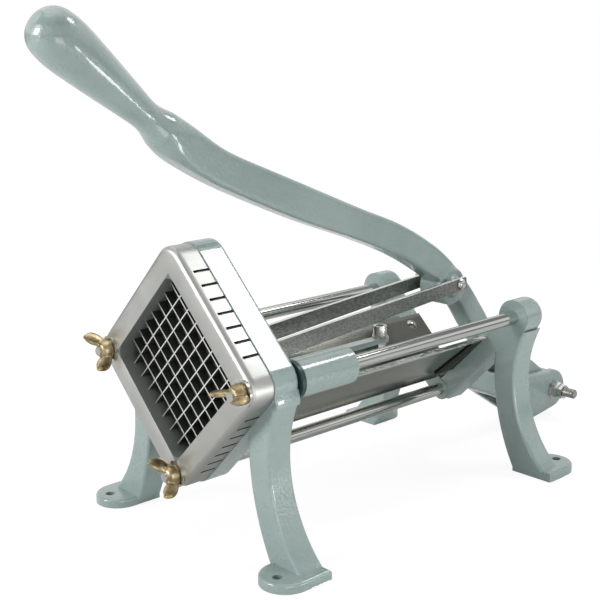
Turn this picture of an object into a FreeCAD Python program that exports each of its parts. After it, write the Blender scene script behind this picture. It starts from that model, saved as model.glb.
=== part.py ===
import FreeCAD, Part

import math
import os

from FreeCAD import Vector as V

# Lever potato cutter on four splayed feet. Millimetres, +Z up, the cutting grid faces -Y.
# The origin is the middle of the four foot holes, on the table.

# Layout of the machine
AXIS_Z = 122.0          # height of the middle of the square opening
OPENING = 90.0          # side of the square opening
ROD_MARGIN = 8.36       # from the opening's corners out to the tie rods
FRONT_Y = -134.0        # front face of the front casting
REAR_Y = 114.0          # front face of the rear casting
CAST_T = 20.0           # both castings, front to back
CAST_EDGE = 2.5         # rounding of the castings' outer edges
STROKE = 158.0          # travel of the pusher along the rods

# Trough
TROUGH_WIDER = 0.25     # its walls lie this far outside the opening
SHEET_T = 1.2
TROUGH_BEND = 8.0       # outer radius of the bend along the bottom
TROUGH_DROP = 2.0       # how much less than half the opening its half width is
TROUGH_LIP = 5.5        # lip turned outwards along each top edge
TROUGH_TUCK = 8.0       # reach of the walls into the front casting
TROUGH_SHORT = 16.0     # how far before the rear casting the walls stop
TONGUE_W = 11.0         # width of the two top strips that go on over the rear casting
TONGUE_REST = 12.0      # their reach over it
TROUGH_SCREW_R = 2.5

# Grid of blades and its square cover
CELLS = 8
GRID_EDGE = 1.0         # from the opening's sides to the outermost cells
BLADE_T = 0.8
BLADE_H = 9.6
BLADE_PLAY = 0.1
COVER_WALL = 16.75
COVER_CORNER = 15.0
COVER_T = 17.5
COVER_EDGE = 1.6
OPENING_CORNER = 5.0
SLOT_INSET = 0.6        # how far the blade ends stop inside the cover's outer faces

# Front casting
RING_PROUD = 0.85       # the casting stands this much outside the cover, all round
LIP_START = 0.5         # the trough's lips begin this far behind the casting

# Rear casting
SIDE_BOSS_R = 13.5
SIDE_BOSS_EDGE = 5.0    # rounding behind
REAR_BOSS_FRONT = 1.0
LOBE_R = 9.0
ARM_UNDER = 10.6        # how far the sloping arms reach below the line of the rods
PIVOT_Y = 246.0
PIVOT_Z = 24.0
YOKE_HALF = 17.0
YOKE_END_R = 17.0
YOKE_SLOT_Y = 170.0
YOKE_TOP = [(130.0, 72.0), (161.0, 56.5), (208.0, 44.5)]      # (y, z), from the root to the pivot
YOKE_UNDER = [(216.0, 3.0), (166.0, 35.5), (130.0, 50.6)]     # and back to the root
YOKE_BEND = 8.0
ROD_BOSS_R = 8.0
BLIND_WALL = 4.0        # casting left behind the bottom rod's blind hole
YOKE_SIDE_GAP = 0.6

# Legs and feet
LEG_TOP_Z = 112.0       # where the outer edge of a leg starts
LEG_ROOT_Z = 96.0       # where its inner edge starts
LEG_OUT = [83.1, 75.0, 110.0]   # x of the outer edge at its start, half way down and on the table
LEG_IN = [54.4, 56.8, 74.7]     # x of the inner edge at the same three places
FOOT_T = 6.5
FOOT_EDGE = 2.0
FOOT_R = 17.5
FOOT_MIDDLE_X = 92.0
FOOT_X = 93.0           # the holes
FOOT_HOLE_Y = 145.0
FOOT_HOLE_R = 3.4
FOOT_LOBE = 3.0         # centre of the foot's round end beyond the casting's outer face

# Tie rods and what clamps them
ROD_R = 5.0
STUD_R = 3.0
STUD_END = 10.5         # stud length standing out of the cover
STUD_CLEAR = 0.3
RUN_FIT = 0.05          # radial play of every turning or sliding fit
FACE_GAP = 0.3          # gap between flat faces of pieces that move on each other
WASHER_R = 9.2
WASHER_T = 1.5
WING_HUB_R = 6.8
WING_HUB_T = 7.0
WING_TIP_R = 14.0
WING_T = 2.4
WING_LOBE = 4.6
WING_FORWARD = 9.3
WING_GAP = 0.1
WING_TURNS = {"left": 127.0, "right": 180.0, "bottom": 130.5}
NUT_M6, NUT_M6_T = 10.0, 5.0
REAR_WASHER_R = 6.2
REAR_WASHER_T = 1.4

# Pusher
HEAD_GAP = 0.75         # between the pusher head and the trough
HEAD_CORNER = 8.0
HEAD_PLATE_T = 6.0
GROOVE = 1.5            # between neighbouring pegs
PEG_LENGTH = 14.5
PEG_PLAY = 3.6          # how far the peg ends have passed into the grid at rest
CARRIAGE_T = 6.0
SLEEVE_R = 12.5
SLEEVE_L = 46.5
BUMPER_R = 13.0
BUMPER_T = 3.2
STRIP_FROM_ROD = 22.0   # from a rod's middle to the middle of the strip beside it
STRIP_W = 8.0
STRIP_RISE = 0.5        # underside of the strips above the line of the rods
STRIP_T = 3.5
STRIP_L = 109.3         # the right strip, behind the plate
STRIP_BOLT_R = 3.0
STRIP_BOLT_BACK = 7.0   # from the end of the strip to its bolt
COLLAR_R = 4.7          # round nut on that bolt
COLLAR_T = 7.0
COLLAR_RIM_R = 5.4
COLLAR_RIM_T = 1.5
LUG_R = 11.0
LUG_IN = 9.0
HEAD_SCREW_AT = 36.0
HEAD_SCREW_R = 2.5

# Links and lever
LINK_Y, LINK_Z = 117.0, 139.0       # rear pivot of the links, on the lever
LINK_FRONT_Y = -93.0                # front pivot of the links, at the height of the rods
LINK_IN = 15.0
LINK_T = 3.0
LINK_H = 12.5
LINK_PIN_R = 4.0
PIN_HEAD_R = 4.6
PIN_HEAD_T = 2.5
LEVER_T = 19.0
LEVER_EDGE = 3.5
LEVER_HUB_R = 15.75
LEVER_BOSS_R = 15.0
LEVER_BOSS_Y, LEVER_BOSS_Z = 114.5, 136.5
PIVOT_R = 4.0
PIVOT_END = 39.7
NUT_M8, NUT_M8_T = 13.0, 6.5

# Outline of the lever beside the grip as (y, z): its upper edge down to the hub, then its lower edge back
LEVER_UPPER = [(-142.3, 281.6), (-123.6, 268.7), (-100.0, 257.6), (-47.7, 236.0), (13.6, 210.5), (58.3, 192.6),
               (96.7, 171.2), (121.1, 151.6), (141.0, 130.5), (155.3, 112.5), (176.0, 90.0), (253.0, 33.0)]
LEVER_LOWER = [(239.0, 14.5), (182.0, 55.5), (150.0, 81.0), (131.0, 98.5), (117.0, 115.5), (92.0, 146.0),
               (58.2, 167.2), (13.9, 186.2), (-42.7, 207.4), (-105.7, 234.5), (-130.0, 247.0), (-156.2, 264.6)]

# The hand grip: where its butt lies, how steeply it runs down to the lever, and its profile
GRIP_BUTT_Y, GRIP_BUTT_Z = -238.2, 346.8
GRIP_DOWN = 39.155      # degrees
GRIP_BUTT_R = 16.6
GRIP = [(12.3, 16.03), (20.0, 17.3), (30.0, 17.4), (44.0, 16.4), (64.0, 13.9), (82.0, 11.3),
        (96.5, 9.6), (104.5, 11.0), (114.0, 13.7), (122.0, 13.5), (142.0, 8.0)]     # (distance from the butt, radius)

# Faces that follow from the sizes above
ROD_RADIUS = OPENING / math.sqrt(2.0) + ROD_MARGIN      # each tie rod's distance from the middle of the opening
PITCH = (OPENING - 2.0 * GRID_EDGE) / CELLS
COVER_SIDE = OPENING + 2.0 * COVER_WALL
TROUGH_SEAT_Z = AXIS_Z - math.sqrt(2.0) * (OPENING / 2.0 + TROUGH_WIDER)    # where its outer faces would meet
TROUGH_HALF = OPENING / 2.0 - TROUGH_DROP
FRONT_BACK = FRONT_Y + CAST_T
REAR_BACK = REAR_Y + CAST_T
SEAT = (AXIS_Z - TROUGH_SEAT_Z) / math.sqrt(2.0)
RING_SIDE = COVER_SIDE + 2.0 * RING_PROUD
RING_CORNER = COVER_CORNER + RING_PROUD
COVER_FRONT = FRONT_Y - COVER_T
BLADE_FRONT = FRONT_Y - BLADE_H
ROD_BACK = REAR_Y - REAR_BOSS_FRONT
BUMPER_Y = FRONT_BACK + FACE_GAP
SLEEVE_Y = BUMPER_Y + BUMPER_T
HEAD_HALF = SEAT - SHEET_T - HEAD_GAP
PEG_TIP = FRONT_Y - PEG_PLAY
HEAD_Y = PEG_TIP + PEG_LENGTH
PLATE_Y = HEAD_Y + HEAD_PLATE_T
PLATE_BACK = PLATE_Y + CARRIAGE_T
LUG_OUT = LINK_IN - FACE_GAP
TROUGH_TOP_Z = TROUGH_SEAT_Z + TROUGH_HALF
TROUGH_END = REAR_Y - TROUGH_SHORT
STRIP_LOW = AXIS_Z + STRIP_RISE
STRIP_HIGH = STRIP_LOW + STRIP_T
BOTTOM_Z = AXIS_Z - ROD_RADIUS
RODS = {"left": (-ROD_RADIUS, AXIS_Z), "right": (ROD_RADIUS, AXIS_Z), "bottom": (0.0, BOTTOM_Z)}


def box(x0, x1, y0, y1, z0, z1):
    return Part.makeBox(x1 - x0, y1 - y0, z1 - z0, V(x0, y0, z0))


def bar_y(r, x, z, y0, y1):
    return Part.makeCylinder(r, y1 - y0, V(x, y0, z), V(0, 1, 0))


def bar_x(r, y, z, x0, x1):
    return Part.makeCylinder(r, x1 - x0, V(x0, y, z), V(1, 0, 0))


def bar_z(r, x, y, z0, z1):
    return Part.makeCylinder(r, z1 - z0, V(x, y, z0), V(0, 0, 1))


def hexagon(across, thick, base, axis):
    radius = across / math.sqrt(3.0)
    corners = [V(radius * math.cos(math.radians(60 * k)), radius * math.sin(math.radians(60 * k)), 0)
               for k in range(7)]
    nut = Part.Face(Part.makePolygon(corners)).extrude(V(0, 0, thick))
    nut.Placement = FreeCAD.Placement(base, FreeCAD.Rotation(V(0, 0, 1), axis))
    return nut


def dome(radius, height, base, axis):
    """Round head: a cap of a ball on a flat seat."""
    ball = (radius * radius + height * height) / (2.0 * height)
    head = Part.makeSphere(ball, V(0, 0, height - ball))
    head = head.common(Part.makeCylinder(radius, height, V(0, 0, 0), V(0, 0, 1)))
    head.Placement = FreeCAD.Placement(base, FreeCAD.Rotation(V(0, 0, 1), axis))
    return head


def edges(shape, wanted):
    """Edges whose middle passes the test."""
    return [edge for edge in shape.Edges if wanted(edge.CenterOfMass)]


def standing_square(side, corner, y0, y1):
    """Square prism along Y, standing on one corner round the middle of the opening."""
    half = side / 2.0
    block = box(-half, half, y0, y1, -half, half)
    if corner:
        block = block.makeFillet(corner, edges(block, lambda p: abs(p.x) > half - 0.01 and abs(p.z) > half - 0.01))
    block.rotate(V(0, 0, 0), V(0, 1, 0), 45)
    block.translate(V(0, 0, AXIS_Z))
    return block


def mirror_x(shape):
    return shape.mirror(V(0, 0, 0), V(1, 0, 0))


def join(first, *others):
    return first.fuse(list(others)).removeSplitter()


def arc(a, b, c):
    return Part.Arc(V(*a), V(*b), V(*c)).toShape()


def line(a, b):
    return Part.makeLine(V(*a), V(*b))


def solid_of(path, sweep):
    return Part.Face(Part.Wire(path)).extrude(V(*sweep))


def right_leg(y0, y1):
    """Splayed leg between two arcs, from its root in the casting down to the table."""
    outer = [(LEG_OUT[0], y0, LEG_TOP_Z), (LEG_OUT[1], y0, LEG_TOP_Z / 2.0), (LEG_OUT[2], y0, 0)]
    inner = [(LEG_IN[2], y0, 0), (LEG_IN[1], y0, LEG_ROOT_Z / 2.0), (LEG_IN[0], y0, LEG_ROOT_Z)]
    middle = (ROD_RADIUS, y0, LEG_TOP_Z)
    path = [arc(*outer), line(outer[2], inner[0]), arc(*inner), line(inner[2], middle), line(middle, outer[0])]
    leg = solid_of(path, (0, y1 - y0, 0))
    long_edges = [edge for edge in leg.Edges if isinstance(edge.Curve, Part.Circle)]
    return leg.makeFillet(CAST_EDGE, long_edges)


def right_foot(side):
    """Foot plate with a round end and one hole; side -1 is the front pair, 1 the rear pair."""
    inner_y = FRONT_BACK if side < 0 else REAR_Y
    lobe_y = (FRONT_Y if side < 0 else REAR_BACK) + side * FOOT_LOBE
    low, high = min(inner_y, lobe_y), max(inner_y, lobe_y)
    plate = join(box(FOOT_MIDDLE_X - FOOT_R, FOOT_MIDDLE_X + FOOT_R, low, high, 0, FOOT_T),
                 bar_z(FOOT_R, FOOT_MIDDLE_X, lobe_y, 0, FOOT_T))
    return plate.makeFillet(FOOT_EDGE, edges(plate, lambda p: p.z > FOOT_T - 0.01))


def with_legs(casting, side):
    y0 = FRONT_Y if side < 0 else REAR_Y
    leg = right_leg(y0, y0 + CAST_T)
    foot = right_foot(side)
    casting = join(casting, leg, mirror_x(leg), foot, mirror_x(foot))
    holes = [bar_z(FOOT_HOLE_R, x, side * FOOT_HOLE_Y, -1, FOOT_T + 1) for x in (-FOOT_X, FOOT_X)]
    return casting.cut(holes)


parts = {}

# Front casting: a square ring on its corner and two legs.
ring = standing_square(RING_SIDE, RING_CORNER, FRONT_Y, FRONT_BACK)
ring = ring.makeFillet(CAST_EDGE, edges(ring, lambda p: p.y > FRONT_BACK - 0.01))
front = with_legs(ring, -1)
front = front.cut(standing_square(2.0 * SEAT, TROUGH_BEND, FRONT_Y - 1, FRONT_BACK + 1))
studs = [bar_y(STUD_R + STUD_CLEAR, x, z, COVER_FRONT - 1, FRONT_BACK + 1) for x, z in RODS.values()]
parts["front_frame"] = front.cut(studs).removeSplitter()

# Cover: square ring clamped to the front casting, with slots for the ends of the blades.
cover = standing_square(COVER_SIDE, COVER_CORNER, COVER_FRONT, FRONT_Y)
cover = cover.makeFillet(COVER_EDGE, edges(cover, lambda p: p.y < COVER_FRONT + 0.01))
cover = cover.cut(standing_square(OPENING, OPENING_CORNER, COVER_FRONT - 1, FRONT_Y + 1))
blade_at = [PITCH * (k - (CELLS - 2) / 2.0) for k in range(CELLS - 1)]


def tilt(shape, angle):
    shape.rotate(V(0, 0, 0), V(0, 1, 0), angle)
    shape.translate(V(0, 0, AXIS_Z))
    return shape


slot_half = BLADE_T / 2.0 + BLADE_PLAY
slots = []
for angle in (45, -45):
    for u in blade_at:
        slot = box(-COVER_SIDE, COVER_SIDE, BLADE_FRONT - BLADE_PLAY, FRONT_Y + 1, u - slot_half, u + slot_half)
        slots.append(tilt(slot, angle))
parts["blade_cover"] = cover.cut(slots + studs)

# Blades: two sets of seven that cross, each notched to half its depth where the other passes.
blade_half = COVER_SIDE / 2.0 - SLOT_INSET
middle_y = FRONT_Y - BLADE_H / 2.0
for name, angle, notch in (("blades_rising", -45, (BLADE_FRONT - 1, middle_y)),
                           ("blades_falling", 45, (middle_y, FRONT_Y + 1))):
    blades = []
    for u in blade_at:
        blade = box(-blade_half, blade_half, BLADE_FRONT, FRONT_Y, u - BLADE_T / 2.0, u + BLADE_T / 2.0)
        notches = [box(v - slot_half, v + slot_half, notch[0], notch[1], u - 2, u + 2) for v in blade_at]
        blades.append(tilt(blade.cut(notches), angle))
    parts[name] = Part.Compound(blades)

# Rear casting: two arms that slope to the side bosses, two legs, and a yoke for the lever.
arm_length = ROD_RADIUS * math.sqrt(2.0)
arm_over = (TROUGH_SEAT_Z - BOTTOM_Z) / math.sqrt(2.0)
arm = box(0, arm_length, REAR_Y, REAR_BACK, -ARM_UNDER, arm_over)
arm = arm.makeFillet(CAST_EDGE, edges(arm, lambda p: p.z < -ARM_UNDER + 0.01 and 1 < p.x < arm_length - 1))
arm.rotate(V(0, 0, 0), V(0, 1, 0), -45)
arm.translate(V(0, 0, BOTTOM_Z))
side_boss = bar_y(SIDE_BOSS_R, ROD_RADIUS, AXIS_Z, ROD_BACK, REAR_BACK)
side_boss = side_boss.makeFillet(SIDE_BOSS_EDGE, edges(side_boss, lambda p: p.y > REAR_BACK - 0.01))
lobe = bar_y(LOBE_R, 0, BOTTOM_Z, REAR_Y, REAR_BACK)
lobe = lobe.cut(standing_square(2.0 * SEAT, TROUGH_BEND, REAR_Y - 1, REAR_BACK + 1))
low_boss = bar_y(ROD_BOSS_R, 0, BOTTOM_Z, ROD_BACK, REAR_BACK)


def around_pivot(degrees, radius):
    a = math.radians(degrees)
    return (-YOKE_HALF, PIVOT_Y + radius * math.cos(a), PIVOT_Z + radius * math.sin(a))


top = [(-YOKE_HALF, y, z) for y, z in YOKE_TOP]
under = [(-YOKE_HALF, y, z) for y, z in YOKE_UNDER]
start, end = around_pivot(100, YOKE_END_R), around_pivot(-80, YOKE_END_R)
path = [line(a, b) for a, b in zip(top, top[1:] + [start])]
path.append(arc(start, around_pivot(0, YOKE_END_R), end))
path += [line(a, b) for a, b in zip([end] + under, under + [top[0]])]
yoke = solid_of(path, (2.0 * YOKE_HALF, 0, 0))
bends = edges(yoke, lambda p: abs(p.x) < 0.01 and any(
    math.hypot(p.y - y, p.z - z) < 0.01 for y, z in YOKE_TOP[1:] + YOKE_UNDER[:-1]))
yoke = yoke.makeFillet(YOKE_BEND, bends)
rim = edges(yoke, lambda p: abs(p.x) > YOKE_HALF - 0.01 and p.y > YOKE_TOP[0][0] + 0.01)
yoke = yoke.makeFillet(CAST_EDGE, rim)
rear = join(arm, mirror_x(arm), side_boss, mirror_x(side_boss), lobe, low_boss, yoke)
rear = with_legs(rear, 1)
yoke_slot = LEVER_T / 2.0 + YOKE_SIDE_GAP
rear = rear.cut([box(-yoke_slot, yoke_slot, YOKE_SLOT_Y, PIVOT_Y + 2.0 * YOKE_END_R, -YOKE_END_R, AXIS_Z),
                 bar_x(PIVOT_R + STUD_CLEAR, PIVOT_Y, PIVOT_Z, -YOKE_HALF - 1, YOKE_HALF + 1),
                 bar_y(STUD_R + STUD_CLEAR, -ROD_RADIUS, AXIS_Z, ROD_BACK - 1, REAR_BACK + 9),
                 bar_y(STUD_R + STUD_CLEAR, ROD_RADIUS, AXIS_Z, ROD_BACK - 1, REAR_BACK + 9),
                 bar_y(STUD_R + STUD_CLEAR, 0, BOTTOM_Z, ROD_BACK - 1, REAR_BACK - BLIND_WALL)])

# Trough: one bent sheet, laid on the rear arms and tucked into the front casting.
turn = TROUGH_BEND / math.sqrt(2.0)
bend_z = TROUGH_SEAT_Z + TROUGH_BEND * math.sqrt(2.0)
inner_r = TROUGH_BEND - SHEET_T
inner_turn = inner_r / math.sqrt(2.0)
inner_half = TROUGH_HALF - SHEET_T * (math.sqrt(2.0) - 1.0)


def trough_half_path(y, lip):
    """Right half of the sheet's section, outer side then inner side, as two lists of points."""
    outer = [(turn, y, bend_z - turn), (TROUGH_HALF, y, TROUGH_TOP_Z)]
    inner = [(inner_half, y, TROUGH_TOP_Z + SHEET_T), (inner_turn, y, bend_z - inner_turn)]
    if lip:
        outer.append((TROUGH_HALF + lip, y, TROUGH_TOP_Z))
        inner.insert(0, (TROUGH_HALF + lip, y, TROUGH_TOP_Z + SHEET_T))
    return outer + inner


def trough_length(y0, y1, lip):
    right = trough_half_path(y0, lip)
    left = [(-x, y, z) for x, y, z in right]
    path = [line(a, b) for a, b in zip(right, right[1:])] + [line(a, b) for a, b in zip(left, left[1:])]
    path.append(arc(right[0], (0, y0, bend_z - TROUGH_BEND), left[0]))
    path.append(arc(right[-1], (0, y0, bend_z - inner_r), left[-1]))
    return Part.Face(Part.Wire(Part.__sortEdges__(path))).extrude(V(0, y1 - y0, 0))


trough = join(trough_length(FRONT_BACK - TROUGH_TUCK, FRONT_BACK + LIP_START, 0),
              trough_length(FRONT_BACK + LIP_START, TROUGH_END, TROUGH_LIP))
tongue_in = TROUGH_HALF - TONGUE_W
tongue_end = REAR_Y + TONGUE_REST
tongues = join(trough_length(TROUGH_END, REAR_Y - FACE_GAP, TROUGH_LIP),
               trough_length(REAR_Y - FACE_GAP, tongue_end, 0))
trough = join(trough, tongues.cut(box(-tongue_in, tongue_in, TROUGH_END - 1, tongue_end + 1, 0, AXIS_Z)))
screw_x = TROUGH_HALF - TONGUE_W / 2.0
screws = []
screw_holes = []
for side in (-1, 1):
    into = V(side, 0, -1).normalize()
    seat = V(side * screw_x, REAR_Y + TONGUE_REST / 2.0, TROUGH_SEAT_Z + screw_x) - into * SHEET_T
    shank = Part.makeCylinder(TROUGH_SCREW_R, arm_over + SHEET_T, seat, into)
    screws.append(shank.fuse(dome(TROUGH_SCREW_R + 2, 1.8, seat, into * -1)))
    screw_holes.append(Part.makeCylinder(TROUGH_SCREW_R + RUN_FIT, arm_over + SHEET_T + 1, seat - into, into))
parts["trough"] = trough.cut(screw_holes)
parts["trough_screws"] = Part.Compound(screws)
parts["rear_frame"] = rear.cut(screw_holes).removeSplitter()

# Tie rods: turned bars whose ends are reduced to studs, the shoulders clamping the castings.
nut_face = REAR_BACK + REAR_WASHER_T
for name, (x, z) in RODS.items():
    back = REAR_BACK - BLIND_WALL - 1 if name == "bottom" else nut_face + NUT_M6_T + 2
    rod = bar_y(ROD_R, x, z, FRONT_BACK, ROD_BACK)
    stud = bar_y(STUD_R, x, z, COVER_FRONT - STUD_END, back)
    stud = stud.makeChamfer(0.6, edges(stud, lambda p: p.y < COVER_FRONT or p.y > ROD_BACK + 1)[:1])
    parts["rod_" + name] = rod.fuse(stud).removeSplitter()

washers = [bar_y(WASHER_R, x, z, COVER_FRONT - WASHER_T, COVER_FRONT).cut(
    bar_y(STUD_R + STUD_CLEAR, x, z, COVER_FRONT - 5, COVER_FRONT + 1)) for x, z in RODS.values()]
parts["wing_nut_washers"] = Part.Compound(washers)
rear_washers = []
rear_nuts = []
for x, z in (RODS["left"], RODS["right"]):
    hole = bar_y(STUD_R + RUN_FIT, x, z, REAR_BACK, REAR_BACK + 20)
    rear_washers.append(bar_y(REAR_WASHER_R, x, z, REAR_BACK, nut_face).cut(hole))
    rear_nuts.append(hexagon(NUT_M6, NUT_M6_T, V(x, nut_face, z), V(0, 1, 0)).cut(hole))
parts["rear_rod_washers"] = Part.Compound(rear_washers)
parts["rear_rod_nuts"] = Part.Compound(rear_nuts)


def wing_nut(name):
    """Conical hub with two rounded ears that spread forward and outward."""
    hub = Part.makeCone(WING_HUB_R, WING_HUB_R - 1.2, WING_HUB_T, V(0, 0, 0), V(0, -1, 0))
    lobe_at = WING_TIP_R - WING_LOBE
    ear = [V(3, -0.6, 0), V(WING_HUB_R + 0.6, -0.6, 0), V(WING_TIP_R - 0.9, 1.6 - WING_FORWARD, 0),
           V(lobe_at - 2.4, -WING_FORWARD - 3.6, 0), V(3, 0.6 - WING_HUB_T, 0), V(3, -0.6, 0)]
    ear = Part.Face(Part.makePolygon(ear)).extrude(V(0, 0, WING_T))
    ear = join(ear, Part.makeCylinder(WING_LOBE, WING_T, V(lobe_at, -WING_FORWARD, 0)))
    ear.translate(V(0, 0, -WING_T / 2.0))
    nut = join(hub, ear, mirror_x(ear))
    nut = nut.cut(bar_y(STUD_R + RUN_FIT, 0, 0, -20, 1))
    nut.rotate(V(0, 0, 0), V(0, 1, 0), -WING_TURNS[name])
    x, z = RODS[name]
    nut.translate(V(x, COVER_FRONT - WASHER_T - WING_GAP, z))
    return nut


for name in RODS:
    parts["wing_nut_" + name] = wing_nut(name)

# Pusher head: a square block cut by crossing grooves, so that one peg enters each cell.
head = standing_square(2.0 * HEAD_HALF, HEAD_CORNER, PEG_TIP, PLATE_Y)
groove_half = GROOVE / 2.0
grooves = []
for angle in (45, -45):
    for u in blade_at:
        groove = box(-COVER_SIDE, COVER_SIDE, PEG_TIP - 1, HEAD_Y, u - groove_half, u + groove_half)
        grooves.append(tilt(groove, angle))
head = head.cut(grooves)
head_screws = []
screw_cuts = []
for x, z in ((-HEAD_SCREW_AT, 0), (HEAD_SCREW_AT, 0), (0, -HEAD_SCREW_AT), (0, HEAD_SCREW_AT)):
    shank = bar_y(HEAD_SCREW_R, x, AXIS_Z + z, HEAD_Y + 3, PLATE_BACK)
    cap = hexagon(3.2 * HEAD_SCREW_R, 1.4 * HEAD_SCREW_R, V(x, PLATE_BACK, AXIS_Z + z), V(0, 1, 0))
    head_screws.append(shank.fuse(cap))
    screw_cuts.append(bar_y(HEAD_SCREW_R + RUN_FIT, x, AXIS_Z + z, HEAD_Y + 2, PLATE_BACK + 1))
parts["pusher_head"] = head.cut(screw_cuts)
parts["pusher_head_screws"] = Part.Compound(head_screws)

# Carriage: plate behind the head, a sleeve on each upper rod, a strip beside each sleeve and two lugs.
# The right strip runs on behind its sleeve and carries a bolt with a tall round nut.
carriage = [standing_square(2.0 * HEAD_HALF, HEAD_CORNER, PLATE_Y, PLATE_BACK)]
carriage_cuts = list(screw_cuts)
strip_mid = ROD_RADIUS - STRIP_FROM_ROD
strip_in, strip_out = strip_mid - STRIP_W / 2.0, strip_mid + STRIP_W / 2.0
strip_end = PLATE_BACK + STRIP_L
bolt_y = strip_end - STRIP_BOLT_BACK
bumpers = []
for side in (-1, 1):
    xs = sorted((side * strip_in, side * strip_out))
    carriage.append(box(xs[0], xs[1], PLATE_Y, SLEEVE_Y + SLEEVE_L, STRIP_LOW, STRIP_HIGH))
    web = sorted((side * strip_out, side * (ROD_RADIUS - ROD_R - 2)))
    carriage.append(box(web[0], web[1], SLEEVE_Y, SLEEVE_Y + SLEEVE_L, STRIP_LOW, STRIP_HIGH))
    carriage.append(bar_y(SLEEVE_R, side * ROD_RADIUS, AXIS_Z, SLEEVE_Y, SLEEVE_Y + SLEEVE_L))
    lug = sorted((side * LUG_IN, side * LUG_OUT))
    carriage.append(bar_x(LUG_R, LINK_FRONT_Y, AXIS_Z, lug[0], lug[1]))
    carriage.append(box(lug[0], lug[1], PLATE_BACK, LINK_FRONT_Y, AXIS_Z - LUG_R, AXIS_Z + LUG_R))
    carriage_cuts.append(bar_y(ROD_R + RUN_FIT, side * ROD_RADIUS, AXIS_Z, SLEEVE_Y - 1, SLEEVE_Y + SLEEVE_L + 1))
    ring = bar_y(BUMPER_R, side * ROD_RADIUS, AXIS_Z, BUMPER_Y, SLEEVE_Y)
    bumpers.append(ring.cut(bar_y(ROD_R + RUN_FIT, side * ROD_RADIUS, AXIS_Z, BUMPER_Y - 1, SLEEVE_Y + 1)))
carriage.append(box(strip_in, strip_out, PLATE_Y, strip_end - STRIP_W / 2.0, STRIP_LOW, STRIP_HIGH))
carriage.append(bar_z(STRIP_W / 2.0, strip_mid, strip_end - STRIP_W / 2.0, STRIP_LOW, STRIP_HIGH))
carriage_cuts.append(bar_z(STRIP_BOLT_R + RUN_FIT, strip_mid, bolt_y, STRIP_LOW - 1, STRIP_HIGH + 1))
shank = bar_z(STRIP_BOLT_R, strip_mid, bolt_y, STRIP_LOW, STRIP_HIGH + COLLAR_RIM_T + 0.7 * COLLAR_T)
strip_bolt = shank.fuse(hexagon(0.8 * NUT_M6, 0.7 * NUT_M6_T, V(strip_mid, bolt_y, STRIP_LOW), V(0, 0, -1)))
collar = join(bar_z(COLLAR_RIM_R, strip_mid, bolt_y, STRIP_HIGH, STRIP_HIGH + COLLAR_RIM_T),
              bar_z(COLLAR_R, strip_mid, bolt_y, STRIP_HIGH, STRIP_HIGH + COLLAR_RIM_T + COLLAR_T))
collar = collar.cut(bar_z(STRIP_BOLT_R + RUN_FIT, strip_mid, bolt_y, STRIP_HIGH - 1, STRIP_HIGH + 2.0 * COLLAR_T))
carriage = join(*carriage)
carriage_cuts.append(bar_x(LINK_PIN_R - 1 + RUN_FIT, LINK_FRONT_Y, AXIS_Z, -LUG_OUT - 1, LUG_OUT + 1))
parts["pusher_carriage"] = carriage.cut(carriage_cuts)
parts["bumper_rings"] = Part.Compound(bumpers)
parts["carriage_arm_bolts"] = strip_bolt
parts["carriage_arm_nuts"] = collar

# Links: flat bars from the lever's boss down to the height of the rods.
fall = LINK_Z - AXIS_Z
link_length = math.hypot(LINK_Y - LINK_FRONT_Y, fall)
link_out = LINK_IN + LINK_T
front_pin_r = LINK_PIN_R - 1
front_pins = []
for name, side in (("left", -1), ("right", 1)):
    inner, outer = sorted((side * LINK_IN, side * link_out))
    over = LINK_H / 2.0
    bar = box(inner, outer, -over, link_length + over, -over, over)
    bar = bar.makeFillet(over / 2.0, edges(bar, lambda p: abs(p.x - (inner + outer) / 2) < 0.01 and
                                           (p.y < -over + 0.01 or p.y > link_length + over - 0.01)))
    bar.rotate(V(0, 0, 0), V(1, 0, 0), math.degrees(math.asin(fall / link_length)))
    bar.translate(V(0, LINK_FRONT_Y, AXIS_Z))
    bar = bar.cut([bar_x(LINK_PIN_R + RUN_FIT, LINK_Y, LINK_Z, inner - 1, outer + 1),
                   bar_x(front_pin_r + RUN_FIT, LINK_FRONT_Y, AXIS_Z, inner - 1, outer + 1)])
    parts["link_" + name] = bar
    pin = bar_x(front_pin_r, LINK_FRONT_Y, AXIS_Z, inner, outer)
    front_pins.append(pin.fuse(dome(front_pin_r + 2, 2, V(side * link_out, LINK_FRONT_Y, AXIS_Z), V(side, 0, 0))))
parts["link_front_pins"] = Part.Compound(front_pins)

head_x = link_out + FACE_GAP
bolt = bar_x(LINK_PIN_R, LINK_Y, LINK_Z, -head_x - NUT_M8_T, head_x)
bolt = bolt.fuse(dome(PIN_HEAD_R, PIN_HEAD_T, V(head_x, LINK_Y, LINK_Z), V(1, 0, 0)))
parts["link_rear_bolt"] = bolt
nut = hexagon(NUT_M8, NUT_M8_T, V(-head_x, LINK_Y, LINK_Z), V(-1, 0, 0))
parts["link_rear_nut"] = nut.cut(bar_x(LINK_PIN_R + RUN_FIT, LINK_Y, LINK_Z, -head_x - 9, -head_x + 1))

# Lever: a curved bar of even thickness with a hub, a boss for the links and a swelling hand grip.
half_t = LEVER_T / 2.0


def curve(points, x):
    spline = Part.BSplineCurve()
    spline.interpolate([V(x, y, z) for y, z in points])
    return spline.toShape()


def yz(pair, x):
    return (x, pair[0], pair[1])


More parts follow.
